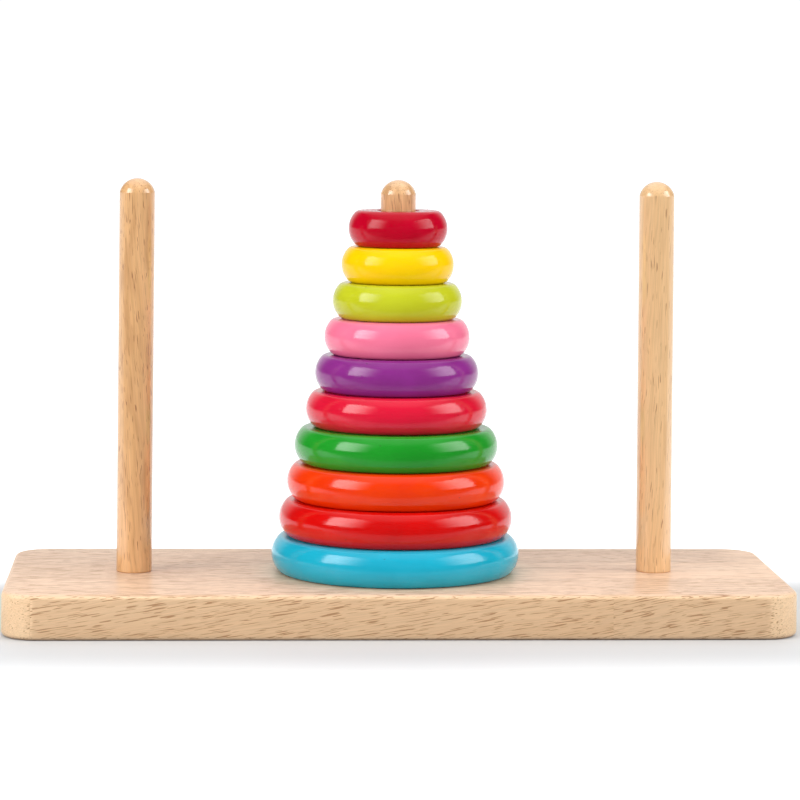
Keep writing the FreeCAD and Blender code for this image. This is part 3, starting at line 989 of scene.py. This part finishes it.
@dataclass
class RingShape:
    """The section that every ring shares, and the tree that turns it."""

    bore_radius: float = 8.0 * MM
    bulge_radius: float = 9.0 * MM
    shoulder_radius: float = 3.0 * MM
    mouth_radius: float = 0.7 * MM
    segments: int = 160
    shoulder_points: int = 9
    bulge_points: int = 19
    mouth_points: int = 6
    weld: float = 0.002 * MM

    def tree(self) -> Tree:
        """Geometry Nodes: one turned ring from its sizes.

        Returns:
            The tree, whose inputs are the ring's sizes, its base height and its material.
        """
        n, given, out = new_group(
            "turned_ring", "Geometry",
            {"Geometry": "Geometry", "Outer Radius": 0.04, "Bore Radius": 0.008,
             "Thickness": 0.014, "Bulge Radius": 0.01, "Shoulder Radius": 0.003,
             "Mouth Radius": 0.0007, "Base Height": 0.0, "Segments": 160,
             "Material": "Material"}, {"Geometry": "Geometry"})
        outer, bore = given["Outer Radius"], given["Bore Radius"]
        thick, bulge = given["Thickness"], given["Bulge Radius"]
        shoulder, mouth = given["Shoulder Radius"], given["Mouth Radius"]
        half = n.times(thick, 0.5)
        lift = n.minus(half, shoulder)
        gap = n.minus(bulge, shoulder)
        reach = n.math("SQRT", n.minus(n.times(gap, gap), n.times(lift, lift)))
        hub = n.minus(outer, bulge)
        inner = n.plus(hub, reach)
        turn = n.math("ARCTAN2", lift, reach)
        quarter = math.pi / 2
        rest = n.minus(quarter, turn)
        lip = n.plus(bore, mouth)
        high_shoulder = n.minus(thick, shoulder)
        high_mouth = n.minus(thick, mouth)

        def spot(x: Any, y: Any) -> Socket:
            """A point of the section, X out from the bore and Y down from the top."""
            out_from_bore = n.minus(x, bore)
            return n.add("ShaderNodeCombineXYZ", {"X": out_from_bore, "Y": y}).outputs[0]

        def bend(x: Any, y: Any, radius: Any, start: Any, sweep: Any, steps: int) -> Socket:
            """One arc of the section."""
            arc = n.add("GeometryNodeCurveArc",
                        {"Resolution": steps, "Radius": radius, "Start Angle": start,
                         "Sweep Angle": sweep}, mode="RADIUS")
            moved = n.add("GeometryNodeTransform", {0: arc.outputs[0], "Translation": spot(x, y)})
            return moved.outputs[0]

        def run(x1: Any, y1: Any, x2: Any, y2: Any) -> Socket:
            """One straight line of the section."""
            return n.add("GeometryNodeCurvePrimitiveLine",
                         {"Start": spot(x1, y1), "End": spot(x2, y2)}).outputs[0]

        parts = [
            run(lip, 0.0, inner, 0.0),
            bend(inner, shoulder, shoulder, -quarter, rest, self.shoulder_points),
            bend(hub, half, bulge, n.times(turn, -1.0),
                 n.times(turn, 2.0), self.bulge_points),
            bend(inner, high_shoulder, shoulder, turn, rest, self.shoulder_points),
            run(inner, thick, lip, thick),
            bend(lip, high_mouth, mouth, quarter, quarter, self.mouth_points),
            run(bore, high_mouth, bore, mouth),
            bend(lip, mouth, mouth, 2 * quarter, quarter, self.mouth_points),
        ]
        section = n.add("GeometryNodeJoinGeometry")
        for part in reversed(parts):
            n.tree.links.new(part, section.inputs[0])
        path = n.add("GeometryNodeCurvePrimitiveCircle",
                     {"Resolution": given["Segments"], "Radius": bore})
        turned = n.add("GeometryNodeCurveToMesh", {"Curve": path.outputs[0],
                                                   "Profile Curve": section.outputs[0]})
        closed = n.add("GeometryNodeMergeByDistance", {0: turned.outputs[0], "Distance": self.weld})
        top = n.plus(given["Base Height"], thick)
        raised = n.add("GeometryNodeTransform", {
            0: closed.outputs[0],
            "Translation": n.add("ShaderNodeCombineXYZ", {"Z": top}).outputs[0]})
        n.hand_over(out, raised.outputs[0], given["Material"])
        return n.tree


@dataclass
class Ring:
    """One painted ring."""

    node: str
    body: str
    finish: PaintFinish

    def build(self, shape: RingShape, tree: Tree, paint: Tree) -> Thing:
        """Make the finished ring.

        Args:
            shape: the section that the rings share.
            tree: the Geometry Nodes tree that turns it.
            paint: the shared paint group.

        Returns:
            The ring's object.
        """
        low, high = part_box(self.node)
        material = self.finish.material(paint)
        thing = grow(self.node.split("_")[2] + "_ring", tree, {
            "Outer Radius": (high.y - low.y) / 2, "Bore Radius": shape.bore_radius,
            "Thickness": high.z - low.z, "Bulge Radius": shape.bulge_radius,
            "Shoulder Radius": shape.shoulder_radius, "Mouth Radius": shape.mouth_radius,
            "Base Height": low.z, "Segments": shape.segments, "Material": material})
        face_outwards(thing.data)
        smooth(thing.data, 40.0)
        dress(thing, material, self.body, [self.node])
        return thing


def face_outwards(mesh: Mesh) -> None:
    """Make a closed mesh's faces point outwards."""
    bm = bmesh.new()
    bm.from_mesh(mesh)
    keep_mesh(bm, mesh)


# ---------------- the studio


@dataclass(frozen=True)
class Softbox:
    """One soft lamp, aimed at the middle of the object and dimmer towards one side."""

    name: str
    azimuth: float
    elevation: float
    distance: float
    width: float
    height: float
    radiance: float
    dim_side: float

    def build(self, aim: Vector) -> None:
        """Set up the lamp.

        Args:
            aim: the point that it faces.
        """
        side, up = math.radians(self.azimuth), math.radians(self.elevation)
        away = Vector((math.sin(side) * math.cos(up), -math.cos(side) * math.cos(up), math.sin(up)))
        half_x, half_y = self.width / 2, self.height / 2
        mesh = bpy.data.meshes.new(self.name)
        mesh.from_pydata([(-half_x, -half_y, 0), (half_x, -half_y, 0), (half_x, half_y, 0),
                          (-half_x, half_y, 0)], [], [(0, 1, 2, 3)])
        thing = new_object(self.name, mesh)
        turn = (-away).to_track_quat("Z", "Y").to_matrix().to_4x4()
        mesh.transform(Matrix.Translation(aim + away * self.distance) @ turn)
        thing.visible_camera = False
        material, n = start_material(self.name)
        place = n.spot()
        inner = turn.to_3x3() @ Vector((self.dim_side, 0.0, 0.0))
        start = (aim + away * self.distance).dot(inner)
        reach = n.add("ShaderNodeVectorMath", {0: place, 1: inner},
                      operation="DOT_PRODUCT").outputs["Value"]
        glow = n.ramp(n.minus(reach, start), -0.5 * half_x, half_x,
                      self.radiance, 0.04 * self.radiance)
        facing = n.add("ShaderNodeNewGeometry").outputs["Backfacing"]
        shine = n.add("ShaderNodeEmission", {
            "Color": (1, 1, 1, 1),
            "Strength": n.times(glow, n.minus(1.0, facing))})
        n.surface(shine)
        mesh.materials.append(material)
        thing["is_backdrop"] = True


@dataclass
class Studio:
    """Floor, surrounding light, softboxes and camera."""

    camera_place: Point3 = (-0.0755, -1.2638, 0.2156)
    heading: float = 3.43
    dip: float = 0.54
    roll: float = 0.54
    lens: float = 146.87
    drop: float = 0.3874
    floor_opening: tuple[float, float] = (146.5 * MM, 55.5 * MM)
    floor_cut: float = 11.5 * MM
    floor_reach: float = 12.0
    floor_colour: Colour = (0.63, 0.645, 0.66)
    floor_shade: Colour = (0.03, 0.03, 0.03)
    glow: float = 0.6
    softboxes: tuple[Softbox, ...] = (
        Softbox("left_softbox", -54.0, 27.0, 1.1, 0.85, 0.74, 6.9, -1.0),
        Softbox("right_softbox", 64.0, 27.0, 1.1, 0.98, 0.74, 5.1, 1.0),
    )
    overhead: float = 0.6
    overhead_spread: float = 70.0
    overhead_lean: float = -25.0
    fill: float = 1.06

    def camera(self) -> None:
        """Place the camera and make it the scene's."""
        data = bpy.data.cameras.new("camera")
        data.lens = self.lens
        data.sensor_width = 36.0
        data.shift_y = -self.drop
        data.clip_start, data.clip_end = 0.05, 60.0
        thing = new_object("camera", data)
        turn = (Matrix.Rotation(math.radians(-self.heading), 4, "Z")
                @ Matrix.Rotation(math.radians(90.0 - self.dip), 4, "X")
                @ Matrix.Rotation(math.radians(self.roll), 4, "Z"))
        thing.matrix_world = Matrix.Translation(self.camera_place) @ turn
        bpy.context.scene.camera = thing

    def floor_mesh(self) -> Mesh:
        """A wide sheet, open beneath the board so that the underside is lit."""
        reach = self.floor_reach
        wide, deep = self.floor_opening
        mesh = bpy.data.meshes.new("floor")
        corners, faces = [], []
        for step, (x, y) in enumerate(((-1, -1), (1, -1), (1, 1), (-1, 1))):
            ends = [(x * wide, y * (deep - self.floor_cut), 0),
                    (x * (wide - self.floor_cut), y * deep, 0)]
            corners += [(x * reach, y * reach, 0)] + (ends if x == y else ends[::-1])
            here, after = 3 * step, 3 * ((step + 1) % 4)
            faces += [(here, here + 2, here + 1), (here, after, after + 1, here + 2)]
        mesh.from_pydata(corners, [], faces)
        return mesh

    def floor(self) -> None:
        """Lay the pale floor: it glows beyond the board, fading out near it so that part of the soft
        shadow round the board is painted, and is dim to bounced and mirrored rays.
        """
        mesh = self.floor_mesh()
        thing = new_object("floor", mesh)
        material, n = start_material("floor_white")
        parts = n.split(n.spot())
        front = n.times(parts["Y"], -1.0)
        side = n.math("ABSOLUTE", parts["X"])
        # Painted shadow: the glow fades out towards the board, which paints part of the soft shadow
        # round it; the rest is real shading.
        lit = n.math("MAXIMUM", n.math("MAXIMUM", n.ramp(parts["Y"], 0.05, 0.11),
                                       n.ramp(front, 0.08, 0.17)),
                     n.ramp(side, 0.16, 0.24))
        ray = n.add("ShaderNodeLightPath")
        mirrored = n.times(n.ramp(front, 0.06, 0.20), ray.outputs["Is Glossy Ray"])
        spread = n.times(ray.outputs["Is Diffuse Ray"], 0.6)
        dark = n.math("MAXIMUM", mirrored, spread)
        kept = n.minus(1.0, n.times(dark, 0.95))
        shader = n.add("ShaderNodeBsdfPrincipled", {
            "Base Color": n.mix(dark, self.floor_colour, self.floor_shade), "Roughness": 0.6,
            "Emission Color": (1, 1, 1, 1),
            "Emission Strength": n.times(n.times(lit, self.glow), kept)})
        n.surface(shader)
        mesh.materials.append(material)
        thing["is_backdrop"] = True

    def world(self) -> None:
        """Light from all round: bright from the backdrop's side, dim from the front."""
        world = bpy.data.worlds.new("studio")
        bpy.context.scene.world = world
        world.use_nodes = True
        world.node_tree.nodes.clear()
        n = NodeMaker(world.node_tree)
        where = n.add("ShaderNodeTexCoord").outputs["Generated"]
        parts = n.split(where)
        rearward = n.math("MULTIPLY_ADD", parts["X"], 0.08, parts["Y"])
        back = n.ramp(rearward, 0.55, 0.92, 0.04, 0.88)
        top = n.ramp(parts["Z"], 0.6, 0.95, 0.0, 0.9)
        ray = n.add("ShaderNodeLightPath")
        forward = n.ramp(parts["Y"], -0.6, 0.1, self.fill, 0.0)
        fill = n.times(ray.outputs["Is Diffuse Ray"], forward)
        light = n.math("MAXIMUM", n.math("MAXIMUM", back, top), fill)
        strength = n.math("MAXIMUM", light, n.times(ray.outputs["Is Camera Ray"], 1.05))
        shine = n.add("ShaderNodeBackground", {"Color": (1, 1, 1, 1), "Strength": strength})
        n.add("ShaderNodeOutputWorld", {"Surface": shine.outputs[0]})

    def skylight(self) -> None:
        """Hang a very wide, even lamp above and a little behind the object."""
        lamp = bpy.data.lights.new("overhead", "SUN")
        lamp.energy = self.overhead
        lamp.angle = math.radians(self.overhead_spread)
        thing = new_object("overhead", lamp)
        thing.rotation_euler = (math.radians(self.overhead_lean), 0.0, 0.0)

    def build(self) -> None:
        """Set up the whole studio."""
        self.camera()
        self.floor()
        self.world()
        low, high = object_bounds()
        aim = (Vector(low) + Vector(high)) / 2
        for softbox in self.softboxes:
            softbox.build(aim)
        self.skylight()
        bpy.context.scene.view_settings.view_transform = "Standard"
        bpy.context.scene.view_settings.look = "None"
        log.info("studio: %d softboxes", len(self.softboxes))


# ---------------- the puzzle

BOARD_WOOD = WoodFinish("board_wood", Grain.ALONG_BOARD, (0.92, 0.655, 0.41),
                        (0.82, 0.54, 0.31), pore=(0.44, 0.23, 0.11), waviness=0.0011,
                        coat=0.25, coat_roughness=0.22, coat_index=1.5,
                        relief=0.04 * MM)
LEFT_WOOD = WoodFinish("left_peg_wood", Grain.UP_THE_PEG, (0.795, 0.47, 0.229),
                       (0.55, 0.29, 0.109), figure=0.7, pores=0.15, long_streaks=0.8,
                       tilt=5.0, offset=(0.3, 0.2, 0.1))
MIDDLE_WOOD = WoodFinish("middle_peg_wood", Grain.UP_THE_PEG, (0.80, 0.48, 0.238),
                         (0.5, 0.26, 0.10), figure=0.7, pores=0.2, long_streaks=0.7,
                         tilt=3.0, offset=(0.7, 0.5, 0.3))
RIGHT_WOOD = WoodFinish("right_peg_wood", Grain.UP_THE_PEG, (0.80, 0.515, 0.27),
                        (0.67, 0.40, 0.175), figure=0.5, pores=0.0, long_streaks=0.4,
                        tilt=-2.0, offset=(0.1, 0.9, 0.5))

PAINTS = {
    name: PaintFinish(name + "_paint", colour, deep, turn, gloss)
    for name, colour, deep, turn, gloss in (
        ("turquoise", (0.012, 0.423, 0.6), (0.008, 0.381, 0.548), 10, 0.44),
        ("red", (0.646, 0.0024, 0.00192), (0.58, 0.0012, 0.00096), 75, 0.44),
        ("orange", (0.841, 0.0454, 0.0012), (0.773, 0.0314, 0.0006), 140, 0.44),
        ("green", (0.0138, 0.316, 0.0214), (0.00918, 0.274, 0.0157), 35, 0.44),
        ("crimson", (0.704, 0.00891, 0.0385), (0.64, 0.00567, 0.0275), 100, 0.44),
        ("purple", (0.264, 0.0276, 0.255), (0.229, 0.0221, 0.211), 55, 0.42),
        ("pink", (0.884, 0.186, 0.318), (0.846, 0.169, 0.291), 20, 0.5),
        ("lime", (0.538, 0.579, 0.0198), (0.502, 0.533, 0.0132), 120, 0.34),
        ("yellow", (0.952, 0.61, 0.001), (0.932, 0.56, 0.0005), 60, 0.24),
        ("cherry", (0.53, 0.0008, 0.0215), (0.461, 0.0004, 0.0144), 90, 0.26),
    )
}


def main() -> None:
    """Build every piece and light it."""
    logging.basicConfig(level=logging.INFO, format="%(name)s: %(message)s")
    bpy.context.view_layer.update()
    wood = rubberwood_group()
    staves = staves_group()
    paint = paint_group()

    screws = Screws(SteelFinish("screw_steel"))
    Board(BOARD_WOOD).build(wood, staves, screws)
    for place, finish in zip(Place, (LEFT_WOOD, MIDDLE_WOOD, RIGHT_WOOD)):
        Peg(place, finish).build(wood)
    screws.build()

    shape = RingShape()
    tree = shape.tree()
    for index, (colour, finish) in enumerate(PAINTS.items(), 1):
        node = f"ring_{index:02d}_{colour}"
        Ring(node, colour + "_ring", finish).build(shape, tree, paint)

    Studio().build()


if __name__ == "__main__":
    main()
